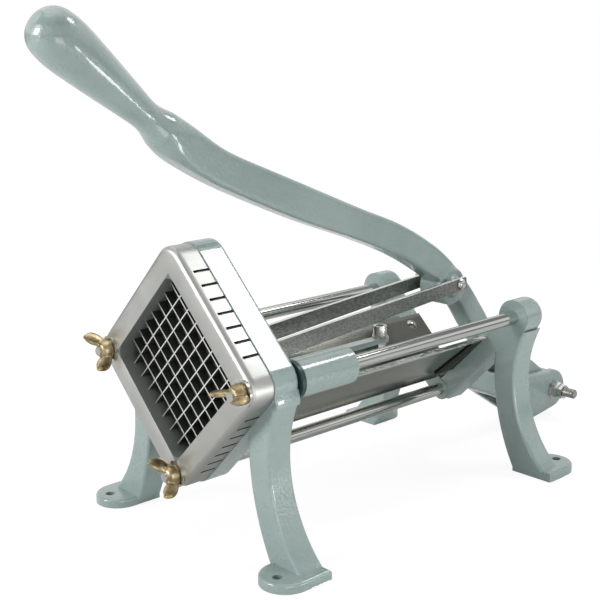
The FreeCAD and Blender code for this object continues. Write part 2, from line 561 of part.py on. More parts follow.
path = [curve(LEVER_UPPER, -half_t), line(yz(LEVER_UPPER[-1], -half_t), yz(LEVER_LOWER[0], -half_t)),
        curve(LEVER_LOWER, -half_t), line(yz(LEVER_LOWER[-1], -half_t), yz(LEVER_UPPER[0], -half_t))]
lever = solid_of(path, (LEVER_T, 0, 0))
long_edges = [edge for edge in lever.Edges if edge.Length > 5.0 * LEVER_T]
lever = lever.makeFillet(LEVER_EDGE, long_edges)
hub = bar_x(LEVER_HUB_R, PIVOT_Y, PIVOT_Z, -half_t, half_t)
boss = bar_x(LEVER_BOSS_R, LEVER_BOSS_Y, LEVER_BOSS_Z, -LUG_OUT, LUG_OUT)
boss = boss.makeFillet(1.2, edges(boss, lambda p: abs(p.x) > LUG_OUT - 0.01))

# The grip is turned about its own axis: an arc over the butt, then a curve through the profile's points.
profile = Part.BSplineCurve()
profile.interpolate([V(0, s, r) for s, r in GRIP])
first, tail = GRIP[0], GRIP[-1]
half_turn = math.atan2(first[1], GRIP_BUTT_R - first[0]) / 2.0
butt = (0, GRIP_BUTT_R * (1 - math.cos(half_turn)), GRIP_BUTT_R * math.sin(half_turn))
path = [arc((0, 0, 0), butt, (0, first[0], first[1])), profile.toShape(),
        line((0, tail[0], tail[1]), (0, tail[0], 0)), line((0, tail[0], 0), (0, 0, 0))]
grip = Part.Face(Part.Wire(path)).revolve(V(0, 0, 0), V(0, 1, 0), 360)
grip.Placement = FreeCAD.Placement(V(0, GRIP_BUTT_Y, GRIP_BUTT_Z), FreeCAD.Rotation(V(1, 0, 0), -GRIP_DOWN))
lever = join(lever, hub, boss, grip)
parts["handle"] = lever.cut([bar_x(PIVOT_R + RUN_FIT, PIVOT_Y, PIVOT_Z, -half_t - 1, half_t + 1),
                             bar_x(LINK_PIN_R + RUN_FIT, LINK_Y, LINK_Z, -LUG_OUT - 1, LUG_OUT + 1)])

# Pivot bolt through the yoke: head on the left, nut and thinner lock nut on the right.
washer_t = WASHER_T
pivot_out = YOKE_HALF + washer_t
bolt = bar_x(PIVOT_R, PIVOT_Y, PIVOT_Z, -pivot_out, PIVOT_END)
bolt = bolt.makeChamfer(0.8, edges(bolt, lambda p: p.x > PIVOT_END - 0.01))
parts["pivot_bolt"] = bolt.fuse(hexagon(NUT_M8, 5.3, V(-pivot_out, PIVOT_Y, PIVOT_Z), V(-1, 0, 0)))
hole = bar_x(PIVOT_R + RUN_FIT, PIVOT_Y, PIVOT_Z, YOKE_HALF, PIVOT_END)
parts["pivot_nut"] = hexagon(NUT_M8, NUT_M8_T, V(pivot_out, PIVOT_Y, PIVOT_Z), V(1, 0, 0)).cut(hole)
lock_x = pivot_out + NUT_M8_T
parts["pivot_lock_nut"] = hexagon(0.85 * NUT_M8, 0.6 * NUT_M8_T, V(lock_x, PIVOT_Y, PIVOT_Z), V(1, 0, 0)).cut(hole)
rings = [bar_x(2.0 * PIVOT_R, PIVOT_Y, PIVOT_Z, x, x + washer_t).cut(
    bar_x(PIVOT_R + STUD_CLEAR, PIVOT_Y, PIVOT_Z, x - 1, x + washer_t + 1)) for x in (-pivot_out, YOKE_HALF)]
parts["pivot_washers"] = Part.Compound(rings)

os.makedirs("parts", exist_ok=True)
for name, shape in parts.items():
    shape.exportStep("parts/" + name + ".step")
    print(name, len(shape.Solids), shape.isValid(), round(shape.Volume), len(shape.Faces))
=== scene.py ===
import math

import bmesh
import bpy
import numpy as np
from mathutils import Matrix, Vector


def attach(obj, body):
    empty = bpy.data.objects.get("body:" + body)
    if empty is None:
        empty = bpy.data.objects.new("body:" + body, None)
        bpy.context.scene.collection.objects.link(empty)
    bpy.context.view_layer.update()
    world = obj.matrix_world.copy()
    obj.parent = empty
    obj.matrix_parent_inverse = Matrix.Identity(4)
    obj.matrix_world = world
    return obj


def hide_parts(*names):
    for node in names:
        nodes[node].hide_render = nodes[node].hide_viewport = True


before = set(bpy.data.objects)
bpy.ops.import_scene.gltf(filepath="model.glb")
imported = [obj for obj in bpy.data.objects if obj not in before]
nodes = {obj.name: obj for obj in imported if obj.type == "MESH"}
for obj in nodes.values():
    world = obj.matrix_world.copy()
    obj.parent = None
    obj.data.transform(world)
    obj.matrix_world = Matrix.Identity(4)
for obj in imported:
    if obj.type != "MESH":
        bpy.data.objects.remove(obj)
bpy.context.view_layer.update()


# Front and rear castings: grey iron with splayed legs, tumbled and then dipped in a pale
# sage enamel. The enamel is glossy, pools a little on flats and shows the sand-cast skin
# as a fine orange peel. The carriage that slides between them is cast and dipped alike.
class Link:
    """One output of a shader node; arithmetic on it adds Math nodes to the same tree."""

    def __init__(self, tree, socket=None):
        self.tree, self.socket = tree, socket

    def node(self, kind, settings=None, inputs=None, output=0):
        made = self.tree.nodes.new("ShaderNode" + kind)
        for name, value in (settings or {}).items():
            setattr(made, name, value)
        for name, value in (inputs or {}).items():
            if isinstance(value, Link):
                self.tree.links.new(value.socket, made.inputs[name])
            else:
                made.inputs[name].default_value = value
        return Link(self.tree, made.outputs[output] if len(made.outputs) else None)

    def maths(self, operation, a, b=0.0):
        return self.node("Math", {"operation": operation}, {0: a, 1: b})

    def __add__(self, other):
        return self.maths("ADD", self, other)

    def __radd__(self, other):
        return self.maths("ADD", other, self)

    def __sub__(self, other):
        return self.maths("SUBTRACT", self, other)

    def __rsub__(self, other):
        return self.maths("SUBTRACT", other, self)

    def __mul__(self, other):
        return self.maths("MULTIPLY", self, other)

    def __rmul__(self, other):
        return self.maths("MULTIPLY", other, self)

    def __gt__(self, other):
        return self.maths("GREATER_THAN", self, other)

    def __lt__(self, other):
        return self.maths("LESS_THAN", self, other)

    def __abs__(self):
        return self.maths("ABSOLUTE", self)

    def larger(self, other):
        return self.maths("MAXIMUM", self, other)

    def smaller(self, other):
        return self.maths("MINIMUM", self, other)

    def wave(self, length):
        """0 where this value is a whole number of lengths, 1 half way between."""
        return 0.5 - 0.5 * self.maths("COSINE", self * (2 * math.pi / length))

    def axis(self, name):
        """X, Y or Z of a vector."""
        return self.node("SeparateXYZ", inputs={"Vector": self}, output="XYZ".index(name))

    def stretched(self, x, y, z):
        return self.node("Mapping", inputs={"Vector": self, "Scale": (x, y, z)})

    def grain(self, scale, detail=2.0, rough=0.5):
        return self.node("TexNoise", inputs={"Vector": self, "Scale": scale, "Detail": detail,
                                             "Roughness": rough})

    def ramp(self, low, high):
        """0 below low, 1 above high, smooth between."""
        return self.node("MapRange", {"interpolation_type": "SMOOTHSTEP"},
                         {"Value": self, "From Min": low, "From Max": high})

    def blend(self, first, second):
        """Colour that goes from the first to the second as this value goes from 0 to 1."""
        return self.node("Mix", {"data_type": "RGBA"}, {0: self, 6: first, 7: second}, 2)

    def bump(self, strength, distance, under=None):
        inputs = {"Height": self, "Strength": strength, "Distance": distance}
        if under is not None:
            inputs["Normal"] = under
        return self.node("Bump", inputs=inputs)


def new_finish(name):
    """Empty material, with the place on the object as its first link."""
    made = bpy.data.materials.new(name)
    made.use_nodes = True
    made.node_tree.nodes.clear()
    start = Link(made.node_tree)
    return made, start.node("TexCoord", output="Object")


def coat_with(place, **sockets):
    """Closes a material: one glossy surface with these sockets."""
    skin = place.node("BsdfPrincipled", inputs={name.replace("_", " "): v for name, v in sockets.items()})
    place.node("OutputMaterial", inputs={"Surface": skin})


def dress(name, finish):
    """Gives a node of the frame its finish, in place of the plain one."""
    piece = nodes[name]
    piece.data.materials.clear()
    piece.data.materials.append(finish)


def make_enamel(name, tint, deep):
    made, place = new_finish(name)
    cloud = place.grain(11.0, 4.0, 0.6).ramp(0.36, 0.66)
    peel = place.grain(430.0, 2.0, 0.5)
    skin = place.grain(95.0, 3.0, 0.5)
    normal = peel.bump(0.55, 0.0009, skin.bump(0.3, 0.0016))
    coat_with(place, Base_Color=cloud.blend(deep, tint), Roughness=0.24 + peel * 0.1, IOR=1.5,
              Coat_Weight=0.9, Coat_Roughness=0.05, Normal=normal)
    return made


sage_enamel = make_enamel("sage_enamel", (0.305, 0.392, 0.374, 1), (0.262, 0.343, 0.327, 1))
for name in ("front_frame", "rear_frame", "pusher_carriage"):
    dress(name, sage_enamel)


# Hand lever: one casting from the hub in the yoke, past the boss that carries the links, to
# the knuckle and the turned grip. The flat bar melts into the round grip through the knuckle.
# It is dipped in the same enamel as the end castings.
def smooth_line(points, count):
    """Points at equal steps along a curve through the given ones: each run is a cubic whose
    slope at a point is half the step between that point's two neighbours."""
    p = np.asarray(points, float)
    m = np.empty_like(p)
    m[1:-1] = (p[2:] - p[:-2]) / 2
    m[0], m[-1] = p[1] - p[0], p[-1] - p[-2]
    t = np.linspace(0, 1, 60, endpoint=False)[None, :, None]
    a, b, ma, mb = p[:-1, None], p[1:, None], m[:-1, None], m[1:, None]
    run = (2 * t ** 3 - 3 * t ** 2 + 1) * a + (t ** 3 - 2 * t ** 2 + t) * ma
    run += (3 * t ** 2 - 2 * t ** 3) * b + (t ** 3 - t ** 2) * mb
    line = np.concatenate([run.reshape(-1, p.shape[1]), p[-1:]])
    walked = np.concatenate([[0], np.cumsum(np.linalg.norm(np.diff(line, axis=0), axis=1))])
    at = np.linspace(0, walked[-1], count)
    return np.stack([np.interp(at, walked, line[:, k]) for k in range(p.shape[1])], axis=1)


def closed_tube(rings):
    """Vertices and faces of a skin over rings of points, rings[i, j]. Each end is closed by quads
    that join the points j and j + 1 to the points opposite them, counted from the ring's last."""
    rows, turns = rings.shape[:2]
    i, j = np.meshgrid(np.arange(rows - 1), np.arange(turns), indexing="ij")
    k = (j + 1) % turns
    corners = [i * turns + j, i * turns + k, (i + 1) * turns + k, (i + 1) * turns + j]
    quads = np.stack(corners, axis=-1).reshape(-1, 4)
    j = np.arange(turns // 2 - 1)
    end = np.stack([j, j + 1, turns - 2 - j, turns - 1 - j], axis=1)
    return rings.reshape(-1, 3), np.concatenate([quads, end[:, ::-1], end + (rows - 1) * turns])


def turned(profile, base, axis, side, turns=48):
    """Skin of a turned form: each (distance along the axis, radius) of the profile becomes a circle
    base + axis * distance + radius * (side * cos a + (axis x side) * sin a)."""
    base, axis, side = (np.asarray(v, float) for v in (base, axis, side))
    a = np.linspace(0, 2 * np.pi, turns, endpoint=False)
    round_ = np.cos(a)[:, None] * side + np.sin(a)[:, None] * np.cross(axis, side)
    profile = np.asarray(profile, float)
    return closed_tube(base + profile[:, None, :1] * axis + profile[:, None, 1:] * round_)


def new_piece(name, skins, finish, body):
    """One mesh of several closed skins, smooth shaded, riding on a body."""
    points, faces, count = [], [], 0
    for vertices, quads in skins:
        points.append(vertices)
        faces.append(quads + count)
        count += len(vertices)
    mesh = bpy.data.meshes.new(name)
    mesh.from_pydata(np.concatenate(points).tolist(), [], np.concatenate(faces).tolist())
    mesh.polygons.foreach_set("use_smooth", [True] * len(mesh.polygons))
    loose = bmesh.new()
    loose.from_mesh(mesh)
    bmesh.ops.recalc_face_normals(loose, faces=loose.faces)
    loose.to_mesh(mesh)
    loose.free()
    mesh.materials.append(finish)
    made = bpy.data.objects.new(name, mesh)
    bpy.context.scene.collection.objects.link(made)
    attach(made, body)
    return made


def melted(piece, voxel, passes):
    """Joins a piece's skins into one and softens the corners where they meet, as in a casting."""
    remesh = piece.modifiers.new("one_skin", "REMESH")
    remesh.mode, remesh.voxel_size, remesh.use_smooth_shade = "VOXEL", voxel, True
    soften = piece.modifiers.new("cast_corners", "SMOOTH")
    soften.factor, soften.iterations = 0.5, passes


# Edges of the bar as (y, z) in millimetres, from the knuckle to the hub, and the radii of the
# grip as (distance from its butt, radius).
upper_edge = [
    (-142.3, 281.6), (-123.6, 268.7), (-100.0, 257.6), (-47.7, 236.0), (13.6, 210.5), (58.3, 192.6),
    (96.7, 171.2), (121.1, 151.6), (141.0, 130.5), (155.3, 112.5), (176.0, 90.0), (253.0, 33.0)]
lower_edge = [
    (-156.2, 264.6), (-130.0, 247.0), (-105.7, 234.5), (-42.7, 207.4), (13.9, 186.2), (58.2, 167.2),
    (90.0, 149.0), (112.0, 133.5), (128.9, 116.7), (143.0, 97.7), (160.0, 77.0), (190.0, 48.5),
    (240.0, 15.0)]
grip_radii = [
    (3.6, 6.2), (5.6, 10.2), (9.2, 13.8), (14.5, 16.0), (22.0, 16.9), (31.0, 16.8), (44.0, 15.5),
    (64.0, 13.2), (82.0, 11.0), (95.0, 9.7), (103.0, 10.8), (111.0, 13.2), (117.0, 13.9), (123.0, 13.3)]
grip_butt = np.array([-238.2, 346.8])
grip_slope = math.radians(39.155)
grip_down = np.array([math.cos(grip_slope), -math.sin(grip_slope)])
bar_half = 9.5          # half the bar's thickness
circle, oblong = 2.0, 9.0
rings_in_grip = 8       # first rings of the bar, which the knuckle hides
knuckle_passes = 14     # of smoothing, over the rings near the join
before_join, after_join = 7, 9


def lever_skin():
    """Rings carried down the grip and on along the bar. In each, a point at the angle a is
    centre + depth * sign(cos a) * |cos a| ** (2 / n) + half_x * sign(sin a) * |sin a| ** (2 / n): a circle
    on the grip, where n is 2, and a rounded oblong along the bar, where n is larger."""
    over, under = smooth_line(upper_edge, 130), smooth_line(lower_edge, 130)
    bar_middle, bar_depth = (over + under) / 2, (over - under) / 2
    radii = smooth_line(grip_radii, 70)
    grip_middle = grip_butt + radii[:, :1] * grip_down
    grip_depth = radii[:, 1:] * np.array([-grip_down[1], grip_down[0]])
    join, bar_rings = len(radii), len(over) - rings_in_grip
    middle = np.concatenate([grip_middle, bar_middle[rings_in_grip:]])
    depth = np.concatenate([grip_depth, bar_depth[rings_in_grip:]])
    half_x = np.concatenate([radii[:, 1], np.full(bar_rings, bar_half)])
    power = np.concatenate([np.full(join, circle), np.full(bar_rings, oblong)])
    for values in (middle, depth, half_x, power):
        smoothed = values.copy()
        for _ in range(knuckle_passes):
            smoothed[1:-1] = (smoothed[:-2] + 2 * smoothed[1:-1] + smoothed[2:]) / 4
        near = slice(join - before_join, join + after_join)
        values[near] = smoothed[near]
    a = np.linspace(0, 2 * np.pi, 64, endpoint=False)
    n = 2 / power[:, None]
    c = np.sign(np.cos(a)) * np.abs(np.cos(a)) ** n
    s = np.sign(np.sin(a)) * np.abs(np.sin(a)) ** n
    rings = np.stack([half_x[:, None] * s, middle[:, None, 0] + depth[:, None, 0] * c,
                      middle[:, None, 1] + depth[:, None, 1] * c], axis=2)
    return closed_tube(rings / 1000)


boss_spot, pivot_spot = (0, 0.1145, 0.1365), (0, 0.246, 0.024)
half_boss = [(0.0147, 0.0078), (0.0118, 0.0082), (0.0114, 0.0138), (0.0105, 0.0148), (0.009, 0.015)]
boss = [(-x, r) for x, r in half_boss] + half_boss[::-1]
hub_half, hub_r, hub_edge = bar_half / 1000, 0.01575, 0.001
half_hub = [(hub_half, hub_r - hub_edge), (hub_half - hub_edge, hub_r)]
hub = [(-x, r) for x, r in half_hub] + half_hub[::-1]
lever_skins = [lever_skin()]
for form, spot in ((boss, boss_spot), (hub, pivot_spot)):
    lever_skins.append(turned(form, spot, (1, 0, 0), (0, 1, 0)))
lever = new_piece("hand_lever", lever_skins, sage_enamel, "lever")
melted(lever, 0.0011, 3)
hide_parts("handle")


# Cover: square ring pressed from stainless steel, linished on the face, with a broad rounded
# front edge. The wing nuts clamp it, and the blades sit in the slots that run in from its
# back edge; each slot is cut into the side, and its floor is painted black as painted shade.
grid_z = 122.0              # middle of the square grid, and of the cover
cell_pitch = 11.0           # from blade to blade
blades_each_way = 7
cover_front, cover_back = -151.5, -134.0
cover_half, cover_corner, front_round = 61.75, 15.0, 4.2
opening_half, opening_corner = 45.0, 8.0
slot_half, slot_depth, slot_front = 0.95, 1.6, -146.6
slot_band = (58.5, 61.5)    # how far out the floors of the slots lie
outermost_slot = 36.0       # how far to the side the last slots reach
sharp_step = 0.01           # between two points that stand for a sharp corner


def make_cover_steel(name, colour, shaded_side_colour, rough):
    """Brushed steel with painted shade: a little darker round the side, a dull grey inside the opening and
    black in the slots. Each is told apart by how far a point lies from the grid's middle along the two ways
    of the blades."""
    made, place = new_finish(name)
    height = place.axis("Z") - grid_z / 1000
    rising = abs(place.axis("X") + height) * math.sqrt(0.5)
    falling = abs(place.axis("X") - height) * math.sqrt(0.5)
    out = rising.larger(falling)
    # Painted shade: the floors of the slots are coloured black, not steel.
    floors = (out < slot_band[1] / 1000) * (out > slot_band[0] / 1000)
    along = (rising.smaller(falling) < outermost_slot / 1000) * (place.axis("Y") > (slot_front - 0.1) / 1000)
    slot_shade = floors * along
    fine = place.stretched(1.0, 0.06, 1.0).grain(420.0, 3.0, 0.6)
    broad = place.grain(26.0, 3.0, 0.6).ramp(0.3, 0.72)
    # Painted shade: the outer sides are coloured darker than the face.
    side = out.ramp(0.0575, 0.0612)
    face = broad.blend(tuple(c * 0.88 for c in colour[:3]) + (1,), colour)
    shade = slot_shade.blend(side.blend(face, shaded_side_colour), (0.006, 0.006, 0.006, 1))
    # Painted shade: the walls of the opening are coloured a dull grey, not steel.
    shaded_opening = out < (opening_half + 0.2) / 1000
    shade = shaded_opening.blend(shade, (0.14, 0.155, 0.145, 1))
    coat_with(place, Base_Color=shade, Metallic=1.0 - slot_shade.larger(shaded_opening),
              Roughness=rough + (fine - 0.5) * 0.1 + broad * 0.05 + slot_shade * 0.4,
              Normal=fine.bump(0.03, 0.0003))
    return made


def cover_skin():
    """Square rings with rounded corners, each given by its half side, its corner radius and its y, joined
    into a loop that goes forward inside, round the front edge and back outside. Along each side the
    points lie at the edges of the slots, where the last two rings step in by the slots' depth."""
    section = [(opening_half, opening_corner, cover_back),
               (opening_half, opening_corner, cover_front + 0.6),
               (opening_half + 0.15, opening_corner + 0.1, cover_front + 0.15),
               (opening_half + 0.6, opening_corner + 0.5, cover_front)]
    for a in np.radians(np.linspace(0, 90, 9)):
        inset, behind = front_round * (1 - math.sin(a)), front_round * (1 - math.cos(a))
        section.append((cover_half - inset, cover_corner - inset, cover_front + behind))
    section += [(cover_half, cover_corner, y) for y in (slot_front - sharp_step, slot_front, cover_back)]
    middles = cell_pitch * (np.arange(blades_each_way) - blades_each_way // 2)
    mouth = np.array([-slot_half - sharp_step, -slot_half, slot_half, slot_half + sharp_step])
    marks = (middles[:, None] + mouth).ravel()
    cut = np.tile([0.0, 1.0, 1.0, 0.0], blades_each_way)
    corner = np.radians(np.linspace(0, 90, 13))
    rings = []
    for row, (half, r, y) in enumerate(section):
        deep = slot_depth * cut * (row >= len(section) - 2)
        u = np.concatenate([half - deep, half - r + r * np.cos(corner)])
        v = np.concatenate([marks, half - r + r * np.sin(corner)])
        sides = []
        for k in range(4):
            sides.append(np.stack([u, v], axis=1))
            u, v = -v, u
        ring = np.concatenate(sides)
        rings.append(np.stack([(ring[:, 0] - ring[:, 1]) * math.sqrt(0.5), np.full(len(ring), y),
                               grid_z + (ring[:, 0] + ring[:, 1]) * math.sqrt(0.5)], axis=1))
    rings = np.array(rings) / 1000
    rows, turns = rings.shape[:2]
    i, j = np.meshgrid(np.arange(rows), np.arange(turns), indexing="ij")
    i2, j2 = (i + 1) % rows, (j + 1) % turns
    faces = np.stack([i * turns + j, i * turns + j2, i2 * turns + j2, i2 * turns + j], axis=-1)
    return rings.reshape(-1, 3), faces.reshape(-1, 4)


# The second colour is the painted shade of the cover's sides.
cover_steel = make_cover_steel("linished_stainless", (0.53, 0.535, 0.51, 1), (0.43, 0.435, 0.415, 1), 0.4)
cover = new_piece("pressed_cover", [cover_skin()], cover_steel, "base")
cover.data.set_sharp_from_angle(angle=math.radians(35))
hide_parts("blade_cover")


# Blades: seven and seven strips of hardened strip steel, notched into each other. Their
# ground front edges are brightened as a painted highlight, their flats are darkened as painted
# shade, and their ends stop inside the slots of the cover, painted black as painted shade.
blade_front, ground_and_highlight_edge = -143.6, 0.3


def make_blade_steel():
    """Painted shade on the dark flats and the black ends inside the slots; the bright front edge is ground
    steel made brighter as a painted highlight.
    """
    made, place = new_finish("ground_blade_steel")
    height = place.axis("Z") - grid_z / 1000
    across = abs(place.axis("X") + height).larger(abs(place.axis("X") - height)) * math.sqrt(0.5)
    # Painted shade: the ends inside the slots are coloured black.
    ends = across.ramp(0.0585, 0.0602)
    # Painted highlight, partly real ground steel: the front edge is coloured bright.
    edge = place.axis("Y") < (blade_front + ground_and_highlight_edge) / 1000
    fine = place.stretched(1.0, 0.1, 1.0).grain(500.0, 3.0)
    # Painted shade: the flats are coloured near black.
    flat = edge.blend((0.035, 0.038, 0.034, 1), (0.9, 0.9, 0.87, 1))
    coat_with(place, Base_Color=ends.blend(flat, (0.012, 0.012, 0.012, 1)), Metallic=edge.larger(0.25),
              Roughness=0.46 + fine * 0.2 - edge * 0.2, Normal=fine.bump(0.1, 0.0002))
    return made


blade_steel = make_blade_steel()
dress("blades_rising", blade_steel)
dress("blades_falling", blade_steel)


# Tie rods: three ground steel bars with a hard chrome surface, reduced and threaded at both
# ends. They hold the two castings apart, and the sleeves of the carriage run on the upper two.
def make_rod_chrome(name, colour, rough, from_y, to_y, pitch):
    """Chrome whose ends outside from_y..to_y carry a thread of this pitch."""
    made, place = new_finish(name)
    along = place.axis("Y")
    ends = (along < from_y).larger(along > to_y)
    scratch = place.stretched(1.0, 0.02, 1.0).grain(900.0, 2.0)
    draw = place.stretched(1.0, 0.012, 1.0).grain(260.0, 3.0, 0.6)
    normal = draw.bump(0.2, 0.0006, scratch.bump(0.06, 0.0002))
    normal = (along.wave(pitch) * ends).bump(0.9, 0.0004, normal)
    coat_with(place, Base_Color=ends.blend(colour, (0.5, 0.5, 0.47, 1)), Metallic=1.0,
              Roughness=rough + ends * 0.16 + (scratch - 0.5) * 0.06, Normal=normal)
    return made


rod_chrome = make_rod_chrome("rod_chrome", (0.55, 0.56, 0.53, 1), rough=0.1, from_y=-0.1142, to_y=0.1132,
                             pitch=0.001)
for name in ("rod_left", "rod_right", "rod_bottom"):
    dress(name, rod_chrome)


# Washers, hexagon nuts, screws and pins: steel hardware, bright zinc plated and slightly
# clouded. They fasten the rods, the yoke, the carriage and the links.
def make_zinc(name, colour, rough):
    made, place = new_finish(name)
    cloud = place.grain(210.0, 3.0)
    dull = tuple(c * 0.62 for c in colour[:3]) + (1,)
    coat_with(place, Base_Color=cloud.ramp(0.3, 0.7).blend(dull, colour), Metallic=1.0,
              Roughness=rough + cloud * 0.15, Normal=place.grain(700.0).bump(0.15, 0.0003))
    return made


zinc = make_zinc("zinc_plate", (0.66, 0.66, 0.63, 1), 0.16)
for name in ("wing_nut_washers", "rear_rod_washers", "rear_rod_nuts", "pivot_nut", "pivot_lock_nut",
             "pivot_washers", "pusher_head_screws", "carriage_arm_bolts", "carriage_arm_nuts",
             "link_rear_bolt", "link_rear_nut", "link_front_pins"):
    dress(name, zinc)


# Pivot bolt: a zinc plated M8 bolt through the yoke and the lever's hub. Its thread shows
# beside the two nuts that lock it, and its grooves are coloured darker.
pivot_thread_from, pivot_thread_pitch = 0.0185, 0.00125


def make_bolt_zinc():
    made, place = new_finish("threaded_zinc")
    along = place.axis("X")
    groove = along.wave(pivot_thread_pitch) * (along > pivot_thread_from)
    cloud = place.grain(260.0, 3.0)
    normal = groove.bump(1.0, 0.0008, place.grain(700.0).bump(0.15, 0.0003))
    # The colour is darker in the grooves of the thread.
    shade = groove.blend((0.62, 0.62, 0.58, 1), (0.2, 0.195, 0.17, 1))
    coat_with(place, Base_Color=shade, Metallic=1.0, Roughness=0.2 + cloud * 0.15, Normal=normal)
    return made


dress("pivot_bolt", make_bolt_zinc())


# Wing nuts: hot-stamped brass, a domed hub with two thick ears that spread forward, dull gold
# with darker patches where fingers have been.
def make_brass():
    made, place = new_finish("stamped_brass")
    patch = place.grain(230.0, 3.0, 0.6).ramp(0.34, 0.66)
    skin = place.grain(520.0, 2.0)
    coat_with(place, Base_Color=patch.blend((0.27, 0.212, 0.11, 1), (0.53, 0.425, 0.26, 1)), Metallic=1.0,
              Roughness=0.27 + skin * 0.2, Normal=skin.bump(0.35, 0.0005))
    return made


def ear_skin(side):
    """Ear of a wing nut on the side x > 0 or x < 0. A ring at the fraction u of its length is an ellipse
    across the ear; its half width swells from the hub to the lobe and closes as sqrt(1 - u ** 8), and its
    middle bends forward and outward."""
    u = 1 - (1 - np.linspace(0, 1, 26)) ** 1.6
    middle = smooth_line([(3.0, 2.6), (6.5, 4.2), (9.7, 8.0), (11.8, 12.8), (12.5, 15.4)], 26)
    close = np.sqrt(np.clip(1 - u ** 8, 0, 1)) * 0.98 + 0.02
    wide = np.interp(u, [0, 0.3, 0.6, 0.85, 1.0], [3.4, 3.8, 4.8, 5.1, 4.9]) * close
    thick = np.interp(u, [0, 0.35, 0.7, 1.0], [2.6, 2.1, 2.15, 2.3]) * close
    slope = np.gradient(middle, axis=0)
    slope /= np.linalg.norm(slope, axis=1)[:, None]
    a = np.linspace(0, 2 * np.pi, 28, endpoint=False)
    out = middle[:, None, 0] + wide[:, None] * np.cos(a) * slope[:, None, 1]
    ahead = middle[:, None, 1] - wide[:, None] * np.cos(a) * slope[:, None, 0]
    return closed_tube(np.stack([side * out, -ahead, thick[:, None] * np.sin(a)], axis=2) / 1000)


brass = make_brass()
hub_profile = [(0, 6.7), (0.5, 7.0), (2.2, 6.95), (4.4, 6.4), (6.2, 5.5), (7.2, 4.4), (7.4, 3.3)]
hub_profile = np.array(hub_profile) / 1000
stud_reach, nut_seat = 72.0, -153.1
for name, x, z, turn in (("left", -stud_reach, grid_z, 127.0), ("right", stud_reach, grid_z, 180.0),
                         ("bottom", 0.0, grid_z - stud_reach, 130.5)):
    c, s = math.cos(math.radians(turn)), math.sin(math.radians(turn))
    spun = np.array([[c, 0, -s], [0, 1, 0], [s, 0, c]])
    skins = []
    for vertices, faces in (turned(hub_profile, (0, 0, 0), (0, -1, 0), (1, 0, 0)), ear_skin(1), ear_skin(-1)):
        skins.append((vertices @ spun.T + np.array([x, nut_seat, z]) / 1000, faces))
    nut = new_piece("brass_wing_nut_" + name, skins, brass, "nut_" + name)
    melted(nut, 0.00045, 3)
    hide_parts("wing_nut_" + name)


# Pusher head: cast block with sixty-four square pegs, coloured near black as painted shade, with a
# painted highlight of grey in the middle of each peg's end.
peg_highlight_y = -0.1368      # in front of this the peg ends carry the painted highlight


def make_peg_metal():
    made, place = new_finish("peg_metal")
    skin = place.grain(240.0, 3.0)
    height = place.axis("Z") - grid_z / 1000
    rising = (place.axis("X") + height) * math.sqrt(0.5)
    falling = (place.axis("X") - height) * math.sqrt(0.5)
    middles = rising.wave(cell_pitch / 1000) * falling.wave(cell_pitch / 1000)
    # Painted shade: the pegs are near black; painted highlight: grey in the middle of each peg's end.
    peg_highlight = middles.ramp(0.3, 0.95) * (place.axis("Y") < peg_highlight_y)
    coat_with(place, Base_Color=peg_highlight.blend((0.026, 0.031, 0.027, 1), (0.5, 0.52, 0.48, 1)), Metallic=0.0,
              Roughness=0.42 + skin * 0.2, Normal=skin.bump(0.2, 0.0004))
    return made


dress("pusher_head", make_peg_metal())


# Bumper rings: turned from black-green rubber and pushed onto the rods in front of the
# carriage's sleeves, where they soften the end of the stroke.
def make_rubber_and_shade(name, colour):
    made, place = new_finish(name)
    skin = place.grain(400.0, 3.0)
    coat_with(place, Base_Color=colour, Roughness=0.26 + skin * 0.2, Normal=skin.bump(0.15, 0.0003))
    return made


dress("bumper_rings", make_rubber_and_shade("bumper_rubber", (0.012, 0.04, 0.034, 1)))


# Trough: one bent sheet of bright stainless steel, slightly wavy along its walls, with a lip
# turned out along each top edge; its walls are coloured darker and warmer than the lips, as painted
# shade. Its walls lie on the arms of the rear casting, on black wedges of painted shade that stand
# just in front of the arms.
sheet_t = 1.2
bend_z, bend_r = 69.321, 8.0
wall_x, lip_w = 43.0, 5.5
trough_front, lip_front, lip_rear, trough_rear = -122.0, -113.5, 113.7, 129.6
tail_rake = 5.2         # how much further back the tops of the walls end
casting_face = 113.8    # front of the rear casting's arms


def make_sheet():
    made, place = new_finish("bright_sheet")
    wave = place.stretched(1.0, 0.35, 1.0).grain(28.0, 2.0)
    ripple = place.grain(160.0, 2.0)
    fine = place.stretched(1.0, 0.05, 1.0).grain(600.0, 2.0)
    lip = place.axis("Z").ramp(0.0995, 0.101)
    normal = (ripple * lip * (place.axis("X") > 0.0)).bump(0.8, 0.0012, wave.bump(0.3, 0.0018))
    # Painted shade: the walls are coloured darker and warmer than the lips.
    coat_with(place, Base_Color=lip.blend((0.30, 0.305, 0.27, 1), (0.45, 0.46, 0.43, 1)), Metallic=1.0,
              Roughness=0.13 + (fine - 0.5) * 0.08, Normal=fine.bump(0.05, 0.0002, normal))
    return made


